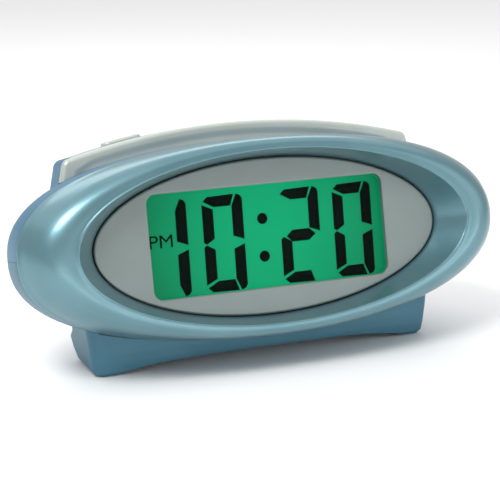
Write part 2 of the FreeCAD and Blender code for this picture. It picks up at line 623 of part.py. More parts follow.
def alarm_switch_body():
    return block(SLIDER_U + SLIDER_TRAVEL / 2, SLIDER_V, 10.0, 5.0, REAR_INNER + 1.4, REAR_INNER + 5.4)


def foot_pads():
    return lie_down(group(pad_solids(0.0)))


PIECES = {
    "front_bezel": front_bezel, "display_panel": display_panel, "display_lens": display_lens,
    "lcd_segments": lcd_segments, "lcd_cell": lcd_cell, "lcd_holder": lcd_holder,
    "backlight_guide": backlight_guide, "backlight_leds": backlight_leds, "zebra_strips": zebra_strips,
    "main_board": main_board, "controller_chip": controller_chip, "quartz_crystal": quartz_crystal,
    "capacitors": capacitors, "board_screws": board_screws, "top_cap": top_cap, "upper_shell": upper_shell,
    "lower_shell": lower_shell, "case_screws": case_screws, "rear_cover": rear_cover,
    "rear_screws": rear_screws, "battery_door": battery_door, "battery_cells": battery_cells,
    "battery_springs": battery_springs, "battery_contacts": battery_contacts,
    "battery_leads": lambda: leads([(-20.0, 11.0), (20.0, 11.0)], BAY_FLOOR + GAP, BOARD_BACK - GAP / 2),
    "piezo_sounder": piezo_sounder,
    "sounder_leads": lambda: leads([(SOUNDER_U - 3, SOUNDER_V), (SOUNDER_U + 3, SOUNDER_V)], -39.5,
                                   BOARD_BACK - GAP / 2),
    "key_board": key_board, "key_switches": key_switches, "key_board_screws": key_board_screws,
    "key_ribbon": lambda: block(45.0, 1.0, 12.0, 0.5, KEY_BOARD_FRONT + GAP / 2, BOARD_BACK - GAP / 2),
    "alarm_slider": alarm_slider, "alarm_switch_body": alarm_switch_body,
    "snooze_button": snooze_button, "snooze_switch": snooze_switch, "snooze_board": snooze_board,
    "foot_pads": foot_pads,
}
for key_name, (key_u, key_v) in KEY_PLACES.items():
    PIECES[key_name] = lambda u=key_u, v=key_v: rear_key(u, v)


def main():
    os.makedirs("parts", exist_ok=True)
    for name, make in PIECES.items():
        shape = stand_up(make())
        shape.exportStep("parts/" + name + ".step")
        box = shape.BoundBox
        print(f"{name}: valid {shape.isValid()}, {len(shape.Solids)} solids, {shape.Volume:.0f} mm3, "
              f"x {box.XMin:.1f} {box.XMax:.1f} y {box.YMin:.1f} {box.YMax:.1f} z {box.ZMin:.1f} {box.ZMax:.1f}")


main()
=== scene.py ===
# %% [markdown]
# # An oval alarm clock, dressed in Blender
# The clock arrives from CAD as a fixed frame: every node already stands in its place, in metres.
# This script gives each visible piece its real surface. The main mouldings are grown again as finer
# meshes on the same dimensions, and nodes whose shape is already right only get a better material.

# %% Load the frame
import json
import math
import bpy
import numpy as np
from mathutils import Matrix, Vector


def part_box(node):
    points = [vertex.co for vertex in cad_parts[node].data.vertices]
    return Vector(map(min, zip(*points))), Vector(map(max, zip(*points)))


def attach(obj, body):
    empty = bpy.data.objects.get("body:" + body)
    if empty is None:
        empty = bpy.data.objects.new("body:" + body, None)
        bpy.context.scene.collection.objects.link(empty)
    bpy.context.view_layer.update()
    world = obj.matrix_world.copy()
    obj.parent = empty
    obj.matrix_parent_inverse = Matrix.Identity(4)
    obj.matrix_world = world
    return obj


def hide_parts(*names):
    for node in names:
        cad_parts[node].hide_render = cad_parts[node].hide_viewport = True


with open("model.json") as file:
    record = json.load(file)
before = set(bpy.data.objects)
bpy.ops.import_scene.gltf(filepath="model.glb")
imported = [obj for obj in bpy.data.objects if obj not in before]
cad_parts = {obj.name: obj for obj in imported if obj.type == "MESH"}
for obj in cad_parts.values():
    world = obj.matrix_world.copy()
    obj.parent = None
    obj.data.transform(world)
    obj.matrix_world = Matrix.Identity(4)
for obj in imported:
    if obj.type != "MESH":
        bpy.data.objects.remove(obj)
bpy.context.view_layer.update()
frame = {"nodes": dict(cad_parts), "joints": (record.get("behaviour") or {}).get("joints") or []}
nodes = frame["nodes"]
scene = bpy.context.scene

# %% [markdown]
# ## The face frame
# The whole front leans back, so it is easiest to measure in a frame that leans with it: x to the right
# along the display, y up the face, z out of it, in millimetres, zero at the middle of the silver panel.
# The keys on the back press straight towards the face, so their joint axis gives the lean. The display
# lens sits squarely behind the window, at a known depth, so its box gives the place.

# %% Work out the face frame
MM = 0.001
LENS_DEPTH = 2.35              # the lens's middle behind the panel's front
joints = {joint["name"]: joint for joint in frame["joints"]}
OUT = np.array(joints["hour_key_press"]["axis"], float)    # from the back towards the face
LEAN = math.asin(OUT[2])
lens_low, lens_high = (np.array(corner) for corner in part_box("display_lens"))
FACE = (lens_low + lens_high) / 2 + LENS_DEPTH * MM * OUT
FACE_MATRIX = Matrix.Translation(FACE) @ Matrix.Rotation(math.pi / 2 - LEAN, 4, "X") @ Matrix.Scale(MM, 4)
print(f"the face leans {math.degrees(LEAN):.2f} degrees, its middle is {FACE[2] * 1000:.1f} mm up")

# %% [markdown]
# ## Camera
# It looks from the left and a little above, from far enough away that the long face keeps its shape.

# %% Camera
VIEW_AZIMUTH, VIEW_ELEVATION = math.radians(-23.05), math.radians(15.44)
VIEW_DISTANCE, LENS_MM = 576.3 * MM, 113.16
AIM = Vector(FACE) + Vector((-8.42, 0.09, -4.71)) * MM
back = Vector((math.sin(VIEW_AZIMUTH) * math.cos(VIEW_ELEVATION),
               -math.cos(VIEW_AZIMUTH) * math.cos(VIEW_ELEVATION), math.sin(VIEW_ELEVATION)))
camera = bpy.data.objects.new("camera", bpy.data.cameras.new("camera"))
camera.data.lens = LENS_MM
camera.location = AIM + back * VIEW_DISTANCE
camera.rotation_mode = "QUATERNION"
camera.rotation_quaternion = (-back).to_track_quat("-Z", "Y")
scene.collection.objects.link(camera)
scene.camera = camera
scene.view_settings.view_transform = "Standard"
print("camera at", [round(c, 3) for c in camera.location])

# %% [markdown]
# ## Writing node sums as sums
# A pattern or a shape rule is easier to read as an expression than as boxes and wires. `Value` wraps one
# output, and the usual signs between values add Math nodes. `Graph.add` makes any other node.


# %% Node helpers
class Value:
    """One node output, which can be added, multiplied, raised and so on."""

    def __init__(self, graph, socket):
        self.graph, self.socket = graph, socket

    def _with(self, operation, first, second=None):
        sources = {"_0": first} if second is None else {"_0": first, "_1": second}
        return self.graph.add("ShaderNodeMath", {"operation": operation}, **sources)

    def __add__(self, other):
        return self._with("ADD", self, other)

    def __sub__(self, other):
        return self._with("SUBTRACT", self, other)

    def __mul__(self, other):
        return self._with("MULTIPLY", self, other)

    def __truediv__(self, other):
        return self._with("DIVIDE", self, other)

    def __rtruediv__(self, other):
        return self._with("DIVIDE", other, self)

    def __pow__(self, other):
        return self._with("POWER", self, other)

    def __radd__(self, other):
        return self._with("ADD", other, self)

    def __rsub__(self, other):
        return self._with("SUBTRACT", other, self)

    def __rmul__(self, other):
        return self._with("MULTIPLY", other, self)

    def __rpow__(self, other):
        return self._with("POWER", other, self)

    def __abs__(self):
        return self._with("ABSOLUTE", self)

    def __mod__(self, other):
        return self._with("FLOORED_MODULO", self, other)

    def call(self, operation, other=None):
        """Any Math node that has no sign of its own, such as COSINE or LESS_THAN."""
        return self._with(operation, self, other)


class Graph:
    """A node tree with one method that adds a node, sets it and links it."""

    def __init__(self, tree):
        self.tree = tree

    def add(self, kind, settings=None, output=0, **inputs):
        node = self.tree.nodes.new(kind)
        for name, setting in (settings or {}).items():
            setattr(node, name, setting)
        for name, source in inputs.items():
            self.feed(self.find(node, name), source)
        return Value(self, node.outputs[output])

    def split(self, vector):
        """The x, y and z of a vector."""
        node = self.tree.nodes.new("ShaderNodeSeparateXYZ")
        self.feed(node.inputs[0], vector)
        return [Value(self, socket) for socket in node.outputs]

    def find(self, node, name):
        """An input by name, with _ for a space, or by number, as in _0."""
        if name[0] == "_" and name[1:].isdigit():
            return node.inputs[int(name[1:])]
        wanted = name.replace("_", " ")
        for socket in node.inputs:
            if socket.enabled and socket.name == wanted:
                return socket
        raise KeyError(f"{node.bl_idname} has no input {wanted}")

    def feed(self, socket, source):
        if isinstance(source, Value):
            self.tree.links.new(source.socket, socket)
        else:
            socket.default_value = source


def rgb(red, green, blue):
    """A colour as a paint chart gives it, from 0 to 255, made linear for the shader."""
    parts = [c / 255 for c in (red, green, blue)]
    return (*(c / 12.92 if c <= 0.04045 else ((c + 0.055) / 1.055) ** 2.4 for c in parts), 1.0)


print("node helpers ready")

# %% [markdown]
# ## One recipe for moulded and painted plastic
# Nearly every visible piece is injection-moulded plastic, bare or lacquered. What the eye reads as
# plastic is a slow drift of tone, a fine spark texture or orange peel, and a roughness that is never
# quite even. One recipe takes those as numbers, so each finish is a line.


# %% Finishes
def start_material(name):
    """A new material with its graph, its shader and the place on the object."""
    material = bpy.data.materials.new(name)
    material.use_nodes = True
    graph = Graph(material.node_tree)
    shader = material.node_tree.nodes["Principled BSDF"]
    place = graph.add("ShaderNodeTexCoord", output=3)
    return material, graph, shader, place


def noise(graph, place, size_mm, detail=2.0):
    """Soft noise whose blotches are about size_mm across."""
    return graph.add("ShaderNodeTexNoise", Vector=place, Scale=1 / (size_mm * MM), Detail=detail)


def blend_colour(graph, factor, first, second):
    return graph.add("ShaderNodeMix", {"data_type": "RGBA"}, output=2, _0=factor, _6=first, _7=second)


def plastic(name, light, dark, rough, drift_mm=18.0, grain_mm=0.35, grain=0.06, metallic=0.0, coat=0.0,
            coat_rough=0.1, specular=0.5, spread=0.06):
    """Moulded or lacquered plastic: tone drifts between two colours and a fine grain breaks the gloss."""
    material, graph, shader, place = start_material(name)
    drift = noise(graph, place, drift_mm)
    fine = noise(graph, place, grain_mm, 3.0)
    tone = blend_colour(graph, drift * 0.7 + fine * 0.3, rgb(*dark), rgb(*light))
    graph.feed(shader.inputs["Base Color"], tone)
    graph.feed(shader.inputs["Roughness"], rough - spread / 2 + drift * spread)
    bump = graph.add("ShaderNodeBump", Height=fine, Strength=grain, Distance=grain_mm * MM * 0.3)
    graph.feed(shader.inputs["Normal"], bump)
    shader.inputs["Metallic"].default_value = metallic
    shader.inputs["Coat Weight"].default_value = coat
    shader.inputs["Coat Roughness"].default_value = coat_rough
    shader.inputs["Specular IOR Level"].default_value = specular
    return material


finishes = {
    "bezel": plastic("pearl_blue_lacquer", (110, 147, 156), (84, 124, 134), 0.32, metallic=0.6, coat=0.3,
                     coat_rough=0.16, grain=0.12),
    "panel": plastic("fine_silver_paint", (132, 143, 141), (116, 127, 125), 0.42, metallic=0.5, grain=0.06,
                     grain_mm=0.2),
    "cap": plastic("silver_paint", (192, 199, 193), (172, 180, 174), 0.32, metallic=0.3, grain=0.06),
    "upper": plastic("upper_shell_blue", (76, 122, 148), (60, 106, 132), 0.45, metallic=0.2, grain=0.14),
    "lower": plastic("lower_shell_blue", (68, 118, 136), (50, 98, 118), 0.42, metallic=0.3, grain=0.2),
    "rear": plastic("rear_cover_blue", (72, 106, 132), (58, 92, 116), 0.5, metallic=0.15, grain=0.2),
    "black": plastic("black_plastic", (24, 24, 25), (14, 14, 15), 0.5),
    "key": plastic("grey_key_plastic", (120, 128, 134), (104, 112, 118), 0.5, grain=0.15),
    "rubber": plastic("black_rubber", (34, 34, 36), (22, 22, 24), 0.8, grain=0.3, grain_mm=0.5),
    "board": plastic("green_solder_mask", (30, 104, 52), (18, 78, 38), 0.35),
    "steel": plastic("zinc_plated_steel", (196, 196, 200), (160, 160, 166), 0.3, metallic=1.0, drift_mm=4.0),
    "lead": plastic("red_lead_sleeve", (150, 24, 20), (112, 16, 14), 0.5),
    "ribbon": plastic("grey_ribbon", (160, 160, 160), (130, 130, 130), 0.5, drift_mm=1.2),
    "sleeve": plastic("battery_sleeve", (52, 54, 60), (36, 38, 44), 0.35, drift_mm=9.0),
    "frosted": plastic("frosted_guide", (214, 236, 226), (196, 222, 210), 0.6),
    "segment": plastic("display_segment", (4, 14, 9), (2, 8, 6), 0.7, specular=0.05),
}
print("finishes:", ", ".join(sorted(finishes)))

# %% [markdown]
# ## The lit display
# The display glows green: brightest across the middle, darker at the two ends where less light
# reaches. Object coordinates give the distance from the middle, so the glow is a short sum. The lens
# in front of it is almost clear.

# %% Display materials
GLOW_HALF_WIDTH, GLOW_HALF_HEIGHT = 50 * MM, 46 * MM     # where the glow would have died away


def lit_green():
    material, graph, shader, place = start_material("backlit_green")
    x, _, z = graph.split(place)
    across, up = (x - FACE[0]) / GLOW_HALF_WIDTH, (z - FACE[2]) / GLOW_HALF_HEIGHT
    mottle = noise(graph, place, 14.0)
    glow = (1.0 - (across * across + up * up) * 0.8).call("MAXIMUM", 0.0) * 0.9 + mottle * 0.1
    graph.feed(shader.inputs["Emission Color"], blend_colour(graph, glow, rgb(0, 100, 60), rgb(0, 172, 116)))
    shader.inputs["Emission Strength"].default_value = 1.0
    graph.feed(shader.inputs["Base Color"], blend_colour(graph, mottle, rgb(4, 24, 16), rgb(8, 34, 24)))
    shader.inputs["Roughness"].default_value = 0.5
    shader.inputs["Specular IOR Level"].default_value = 0.1
    return material


def clear_lens():
    material, graph, shader, place = start_material("clear_acrylic")
    haze = noise(graph, place, 6.0)
    graph.feed(shader.inputs["Base Color"], blend_colour(graph, haze, rgb(14, 30, 24), rgb(20, 40, 32)))
    graph.feed(shader.inputs["Roughness"], 0.04 + haze * 0.04)
    shader.inputs["Alpha"].default_value = 0.03
    shader.inputs["Specular IOR Level"].default_value = 0.2
    return material


finishes["lit"] = lit_green()
finishes["lens"] = clear_lens()
print("display materials ready")

# %% [markdown]
# ## Painted shadow in the gap above the stand
# The bezel's lower edge stands a little in front of the stand, and no light gets into the gap. The
# lower shell's colour is darkened there as a painted shadow: inside the bezel's outline, at the depth of the
# stand's front.

# %% Paint the shadow in the gap
BEZEL_HALF_WIDTH, BEZEL_HALF_HEIGHT, BEZEL_SQUARENESS = 94.9, 36.3, 2.32
GAP_SHADOW_REACH = 1.014                            # how far past the bezel's outline the painted shadow reaches
GAP_SHADOW_FRONT, GAP_SHADOW_BACK = -8.5, -15.0           # the depths between which the stand's front lies
GAP_SHADOW_TOP, GAP_SHADOW_HALF_WIDTH = -20.0, 66.0       # only over the stand, below the middle


def paint_gap_shadow(material):
    """Paints a shadow into the narrow gap between the bezel's lower edge and the stand, where no light gets
    in.
    """
    graph = Graph(material.node_tree)
    shader = material.node_tree.nodes["Principled BSDF"]
    paint = Value(graph, shader.inputs["Base Color"].links[0].from_socket)
    x, y, z = graph.split(graph.add("ShaderNodeTexCoord", output=3))
    right = (x - FACE[0]) / MM
    up = ((z - FACE[2]) * math.cos(LEAN) + (y - FACE[1]) * math.sin(LEAN)) / MM
    out = ((z - FACE[2]) * math.sin(LEAN) - (y - FACE[1]) * math.cos(LEAN)) / MM
    across = abs(right / BEZEL_HALF_WIDTH) ** BEZEL_SQUARENESS
    upward = abs(up / BEZEL_HALF_HEIGHT) ** BEZEL_SQUARENESS
    reach = (across + upward) ** (1 / BEZEL_SQUARENESS)
    in_shadow = reach.call("LESS_THAN", GAP_SHADOW_REACH) * out.call("GREATER_THAN", GAP_SHADOW_BACK)
    in_shadow = in_shadow * out.call("LESS_THAN", GAP_SHADOW_FRONT)
    in_shadow = in_shadow * up.call("LESS_THAN", GAP_SHADOW_TOP) * abs(right).call("LESS_THAN", GAP_SHADOW_HALF_WIDTH)
    # painted shadow: a near-black colour stands in for the shade in the gap
    graph.feed(shader.inputs["Base Color"], blend_colour(graph, in_shadow, paint, rgb(8, 14, 18)))


paint_gap_shadow(finishes["lower"])
print("gap darkened in", finishes["lower"].name)

# %% [markdown]
# ## One rule for every rounded piece
# The bezel, the keys, the screws and the feet all follow one rule: a stack of ovals, each with a half
# width, a half height, a squareness and a depth. Squareness 2 is an ellipse, more is boxier, and less
# than 1 is a four-pointed star, which is just what a cross-head screw's recess looks like. The tree
# below reads the stack from the points of a seed mesh and bends a grid round it.


# %% The oval-stack tree
WELD = 0.0005                 # points nearer than this, in the tree's millimetres, become one


def start_tree(name, sockets):
    """A geometry tree with its named inputs, as values."""
    tree = bpy.data.node_groups.new(name, "GeometryNodeTree")
    for label, kind in [("Geometry", "Geometry")] + sockets + [("Material", "Material")]:
        tree.interface.new_socket(label, in_out="INPUT", socket_type="NodeSocket" + kind)
    tree.interface.new_socket("Geometry", in_out="OUTPUT", socket_type="NodeSocketGeometry")
    graph = Graph(tree)
    start = tree.nodes.new("NodeGroupInput")
    return graph, {socket.name: Value(graph, socket) for socket in start.outputs if socket.name}


def end_tree(graph, geometry, material):
    """Every tree ends alike: copies are made real, then the material is set."""
    real = graph.add("GeometryNodeRealizeInstances", Geometry=geometry)
    done = graph.add("GeometryNodeSetMaterial", Geometry=real, Material=material)
    graph.feed(graph.tree.nodes.new("NodeGroupOutput").inputs["Geometry"], done)
    return graph.tree


def oval_stack_tree():
    graph, given = start_tree("oval_stack", [("Rows", "Int"), ("Around", "Int")])
    rows, around = given["Rows"], given["Around"]
    grid = graph.add("GeometryNodeMeshGrid", Vertices_X=around + 1, Vertices_Y=rows)
    index = graph.add("GeometryNodeInputIndex")
    row = index % rows
    angle = (index / rows).call("FLOOR") * math.tau / around
    place = graph.add("GeometryNodeInputPosition")
    oval = graph.add("GeometryNodeSampleIndex", {"data_type": "FLOAT_VECTOR"}, Geometry=given["Geometry"],
                     Value=place, Index=row)
    named = graph.add("GeometryNodeInputNamedAttribute", {"data_type": "FLOAT"}, Name="squareness")
    power = graph.add("GeometryNodeSampleIndex", {"data_type": "FLOAT"}, Geometry=given["Geometry"],
                      Value=named, Index=row)
    half_width, half_height, depth = graph.split(oval)
    c, s = angle.call("COSINE"), angle.call("SINE")
    reach = (abs(c) ** power + abs(s) ** power) ** (-1.0 / power)
    bent = graph.add("ShaderNodeCombineXYZ", X=half_width * reach * c, Y=half_height * reach * s, Z=depth)
    skin = graph.add("GeometryNodeSetPosition", Geometry=grid, Position=bent)
    closed = graph.add("GeometryNodeMergeByDistance", Geometry=skin, Distance=WELD)
    return end_tree(graph, closed, given["Material"])


oval_stack = oval_stack_tree()
print("tree", oval_stack.name, "has", len(oval_stack.nodes), "nodes")

# %% [markdown]
# ## Growing a piece
# `grow` runs a tree on a seed, keeps the result as plain mesh and drops the modifier. `settle` then
# sets the mesh in its place in metres, hands it to the CAD body it moves with, and hides the CAD
# node it stands for.


# %% Grow and settle
def turn_outward(mesh):
    """Flips a closed mesh whose faces look inward, found from the sign of its volume."""
    mesh.calc_loop_triangles()
    corners = np.array([vertex.co for vertex in mesh.vertices])
    triangles = np.array([triangle.vertices for triangle in mesh.loop_triangles])
    a, b, c = (corners[triangles[:, i]] for i in range(3))
    if np.einsum("ij,ij->i", a, np.cross(b, c)).sum() < 0:
        mesh.flip_normals()


def plain_mesh(thing):
    """The mesh of an object with its modifiers applied; the object itself is dropped."""
    mesh = bpy.data.meshes.new_from_object(thing.evaluated_get(bpy.context.evaluated_depsgraph_get()))
    bpy.data.objects.remove(thing)
    return mesh


def grow(name, tree, seed, **settings):
    thing = bpy.data.objects.new(name, seed)
    scene.collection.objects.link(thing)
    modifier = thing.modifiers.new("grow", "NODES")
    modifier.node_group = tree
    for item in tree.interface.items_tree:
        if item.in_out == "INPUT" and item.name in settings:
            modifier[item.identifier] = settings[item.name]
    mesh = plain_mesh(thing)
    mesh.name = name
    turn_outward(mesh)
    return mesh


def settle(mesh, body, slot, *replaced, matrix=FACE_MATRIX, sharp=38):
    mesh.transform(matrix)
    mesh.shade_smooth()
    mesh.set_sharp_from_angle(angle=math.radians(sharp))
    mesh.update()
    piece = bpy.data.objects.new(mesh.name, mesh)
    scene.collection.objects.link(piece)
    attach(piece, body)
    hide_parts(*replaced)
    print(f"{mesh.name}: {len(mesh.vertices)} points, {len(mesh.polygons)} faces, on {body}")


def stack_seed(rows):
    """A seed mesh whose points are (half width, half height, depth), with the squareness beside them."""
    seed = bpy.data.meshes.new("seed")
    seed.from_pydata([(a, b, w) for a, b, _, w in rows], [], [])
    squareness = seed.attributes.new("squareness", "FLOAT", "POINT")
    squareness.data.foreach_set("value", [n for _, _, n, _ in rows])
    return seed


def oval_piece(name, rows, around, finish):
    """A piece from its stack of ovals, with so many points round it."""
    return grow(name, oval_stack, stack_seed(rows), Rows=len(rows), Around=around,
                Material=finishes[finish])


print("ready to grow")

# %% [markdown]
# ## The bezel
# The pearl-blue front swells from its seam, rolls over a rounded ridge and drops down a funnel to the
# silver panel. The ridge has a narrow rounded land of its own: it catches the thin bright line that
# runs right round the front.


# %% Grow the bezel
def smooth_through(points, steps):
    """A smooth curve through the points, with so many steps between each two."""
    p = np.array(points, float)
    p = np.vstack([2 * p[0] - p[1], p, 2 * p[-1] - p[-2]])
    made = []
    for before, start, stop, after in zip(p, p[1:], p[2:], p[3:]):
        slope, bend = stop - before, 2 * before - 5 * start + 4 * stop - after
        twist = 3 * start - before - 3 * stop + after
        for t in np.arange(steps) / steps:
            made.append(0.5 * (2 * start + slope * t + bend * t ** 2 + twist * t ** 3))
    return [tuple(row) for row in made] + [tuple(p[-2])]


print("curve helper ready")

# %% [markdown]
# Each row of the bezel's section is half width, half height, squareness and depth: the dome, the little
# ridge, the straight funnel, its foot round the panel, and the inside back to where the dome began.

# %% The bezel's section
dome = [(94.55, 36.05, 2.32, -4.0), (94.85, 36.35, 2.32, -3.85), (94.9, 36.45, 2.31, -3.5)]
dome += smooth_through([(94.8, 36.47, 2.30, -3.0), (93.85, 36.45, 2.27, -1.6), (92.6, 36.4, 2.22, 1.2),
                        (91.0, 36.25, 2.16, 4.0), (89.0, 35.85, 2.10, 6.8), (86.2, 35.0, 2.05, 9.0),
                        (82.2, 33.6, 2.02, 10.35), (77.7, 31.85, 2.0, 10.66)], 7)
ridge = [(77.35, 31.7, 2.0, 10.78), (77.05, 31.58, 2.0, 10.93), (76.75, 31.45, 2.0, 10.99),
         (76.5, 31.36, 2.0, 10.93), (76.3, 31.28, 2.0, 10.78), (76.15, 31.22, 2.0, 10.55)]
FUNNEL_FOOT = np.array([68.62, 29.16, 2.0, 0.0])
funnel = [tuple(FUNNEL_FOOT + (np.array(ridge[-1]) - FUNNEL_FOOT) * t) for t in np.linspace(0.92, 0.0, 9)]
foot = [(68.62, 29.16, 2.0, -1.6), (68.8, 29.35, 2.0, -1.8), (70.6, 30.9, 2.0, -1.8)]
inside = [(78.0, 32.2, 2.0, 8.4), (83.6, 33.2, 2.05, 7.0), (88.4, 34.0, 2.15, 3.0), (91.4, 34.3, 2.25, -1.0),
          (92.6, 34.3, 2.3, -4.0)]
bezel_rows = dome + ridge + funnel + foot + inside + dome[:1]
settle(oval_piece("front_bezel_skin", bezel_rows, 320, "bezel"), "case", "bezel_blue", "front_bezel")

# %% [markdown]
# ## The silver panel
# Its outside is an ellipse and its window a rounded rectangle. Both are seen from the middle, so each
# direction has one point on either, and rings of such points make the whole panel: a fine bevel, the
# flat, the window's edge and the flange that holds it behind the bezel.


# %% Ring helpers
def skin(name, loops, finish, closed=True):
    """Faces between loops of equal length, each loop a closed ring; the last meets the first if closed."""
    count = len(loops[0])
    points = np.vstack(loops)
    faces = []
    for row in range(len(loops) if closed else len(loops) - 1):
        low, high = row * count, (row + 1) % len(loops) * count
        faces += [(low + i, low + (i + 1) % count, high + (i + 1) % count, high + i) for i in range(count)]
    if not closed:
        faces += [tuple(range(count))[::-1], tuple(range(len(points) - count, len(points)))]
    mesh = bpy.data.meshes.new(name)
    mesh.from_pydata(points.tolist(), [], faces)
    mesh.materials.append(finishes[finish])
    turn_outward(mesh)
    return mesh


def box_gap(x, y, half_w, half_h, radius):
    """Distance from points to a rounded rectangle, less than zero inside it."""
    across, up = np.abs(x) - half_w + radius, np.abs(y) - half_h + radius
    return np.hypot(np.maximum(across, 0), np.maximum(up, 0)) + np.minimum(np.maximum(across, up), 0) - radius


print("ring helpers ready")

# %% Rings round the panel
RING = 720                                                # points round the panel
PANEL_HALF_WIDTH, PANEL_HALF_HEIGHT = 68.0, 28.63
WINDOW_HALF_WIDTH, WINDOW_HALF_HEIGHT, WINDOW_CORNER = 47.0, 19.0, 3.5
HALVINGS = 40                                             # enough to place a point exactly
AROUND = np.arange(RING) / RING * math.tau
PANEL_X, PANEL_Y = PANEL_HALF_WIDTH * np.cos(AROUND), PANEL_HALF_HEIGHT * np.sin(AROUND)


def oval_loop(grown, w):
    """The panel's outline, grown outwards, at depth w."""
    x, y = (PANEL_HALF_WIDTH + grown) * np.cos(AROUND), (PANEL_HALF_HEIGHT + grown) * np.sin(AROUND)
    return np.stack([x, y, np.full(RING, w)], 1)


def window_loop(grown, w):
    """The window's outline, grown outwards, at depth w. Each point is found by halving along its ray."""
    near, far = np.zeros(RING), np.ones(RING)
    for _ in range(HALVINGS):
        middle = (near + far) / 2
        gap = box_gap(PANEL_X * middle, PANEL_Y * middle, WINDOW_HALF_WIDTH + grown,
                      WINDOW_HALF_HEIGHT + grown, WINDOW_CORNER + grown)
        near, far = np.where(gap < 0, middle, near), np.where(gap < 0, far, middle)
    return np.stack([PANEL_X * near, PANEL_Y * near, np.full(RING, w)], 1)


print("rings have", RING, "points")

# %% Skin the panel
panel_loops = [oval_loop(1.9, -2.95), oval_loop(1.9, -1.95), oval_loop(-0.02, -1.85), oval_loop(-0.02, -0.62),
               oval_loop(-0.08, -0.42), oval_loop(-0.3, -0.14), oval_loop(-0.62, -0.01), oval_loop(-0.9, 0.0),
               oval_loop(-1.3, 0.0), window_loop(0.7, 0.0), window_loop(0.5, 0.0), window_loop(0.22, -0.05),
               window_loop(0.05, -0.2), window_loop(0.0, -0.45), window_loop(0.0, -1.75),
               window_loop(1.4, -1.8), window_loop(1.4, -2.95)]
panel_mesh = skin("silver_panel", panel_loops, "panel")
# second slot: black used as painted shade on the flange rings, where the gap round the panel lies in shadow
panel_mesh.materials.append(finishes["black"])
SHADE_FLANGE_RINGS = 3                        # the hidden flange gets the black finish as painted shade, so the gap round the panel looks dark
for polygon in panel_mesh.polygons[:SHADE_FLANGE_RINGS * RING]:
    polygon.material_index = 1
settle(panel_mesh, "case", "panel_silver", "display_panel")

# %% [markdown]
# ## The silver cap
# A long band that follows an arc along its top and the case's oval below. Every point's depth comes
# from two distances: near the edge the front rolls back, and further in it steps down into a shallow
# recess with a soft shoulder. A strip on top carries the paint back over the hump, with a slot for
# the button.

# %% The cap's outline
ARC_RADIUS, ARC_TOP, CAP_FRONT, CAP_BACK = 264.0, 43.4, -20.5, -22.95
CORNER, CORNER_AT = 3.2, (67.3, 31.4)
CORNER_TURN = (15.0, 75.3)                    # degrees, from the end wall round to the arc
CAP_END, LOW_END = 71.9, 66.0                 # half lengths: the cap's foot, and below its corner
CASE_HALF_WIDTH, CASE_HALF_HEIGHT, CASE_SQUARENESS, CASE_GAP = 94.2, 35.95, 2.34, 0.15


def arc_v(u):
    """Top of the cap's arc."""
    return ARC_TOP - ARC_RADIUS + np.sqrt(ARC_RADIUS ** 2 - u ** 2)


def case_v(u):
    """Top of the case's oval where the cap stands on it."""
    left_over = np.maximum(1 - np.abs(u / CASE_HALF_WIDTH) ** CASE_SQUARENESS, 0)
    return CASE_HALF_HEIGHT * left_over ** (1 / CASE_SQUARENESS) + CASE_GAP


turns = np.radians(np.linspace(*CORNER_TURN, 14))
corner = np.stack([CORNER_AT[0] + CORNER * np.cos(turns), CORNER_AT[1] + CORNER * np.sin(turns)], 1)
cap_foot = np.array([CAP_END, case_v(CAP_END)])
wall = cap_foot + (corner[0] - cap_foot) * np.linspace(0, 1, 16)[:-1, None]
arc_u = np.linspace(corner[-1, 0], 0, 150)[1:]
half = np.vstack([wall, corner, np.stack([arc_u, arc_v(arc_u)], 1)])
top_edge = np.vstack([half, (half * [-1, 1])[-2::-1]])
print("cap outline:", len(top_edge), "points")

# %% [markdown]
# Columns join each point of that outline to one on the case's oval, close together near the top, where
# the roll and the shoulder need them.

# %% The cap's grid
low_u = np.concatenate([np.linspace(CAP_END, LOW_END, len(wall) + len(corner)),
                        arc_u * LOW_END / corner[-1, 0]])
low_u = np.concatenate([low_u, -low_u[-2::-1]])
low_edge = np.stack([low_u, case_v(low_u)], 1)
rise = np.concatenate([np.linspace(0, 0.8, 26)[:-1], 1 - np.linspace(0.2, 0, 14)])[:, None, None]
flat = low_edge + (top_edge - low_edge) * rise
print("cap grid:", flat.shape[0], "rows of", flat.shape[1])


# %% The cap's depth
def step(x, low, high):
    """0 below low and 1 above high, with a soft rise between."""
    t = np.clip((x - low) / (high - low), 0, 1)
    return t * t * (3 - 2 * t)


ROLL = 1.7                                    # radius of the rolled edge
RIM, RIM_MORE_AT_ENDS = 2.4, 2.2              # breadth of the raised rim
RIM_WIDENS = (58.0, 68.0)                     # and where it broadens
RECESS, SHOULDER = 0.6, 3.2                   # depth of the recess, breadth of its shoulder
starts, runs = top_edge[:-1], np.diff(top_edge, axis=0)    # the outline's short straight pieces
points = flat.reshape(-1, 1, 2)
along = np.clip(((points - starts) * runs).sum(-1) / (runs ** 2).sum(-1), 0, 1)
from_edge = np.linalg.norm(points - starts - along[..., None] * runs, axis=-1).min(1)    # to the nearest
from_edge = from_edge.reshape(flat.shape[:2])
roll = ROLL - np.sqrt(ROLL ** 2 - np.maximum(ROLL - from_edge, 0) ** 2)
rim = RIM + RIM_MORE_AT_ENDS * step(np.abs(flat[..., 0]), *RIM_WIDENS)
recess = RECESS * step(from_edge - rim, 0.0, SHOULDER)
front_points = np.concatenate([flat, (CAP_FRONT - roll - recess)[..., None]], 2)
back_points = np.concatenate([flat, np.full(flat.shape[:2], CAP_BACK)[..., None]], 2)
print(f"cap front: depth from {front_points[..., 2].min():.2f} to {front_points[..., 2].max():.2f} mm")

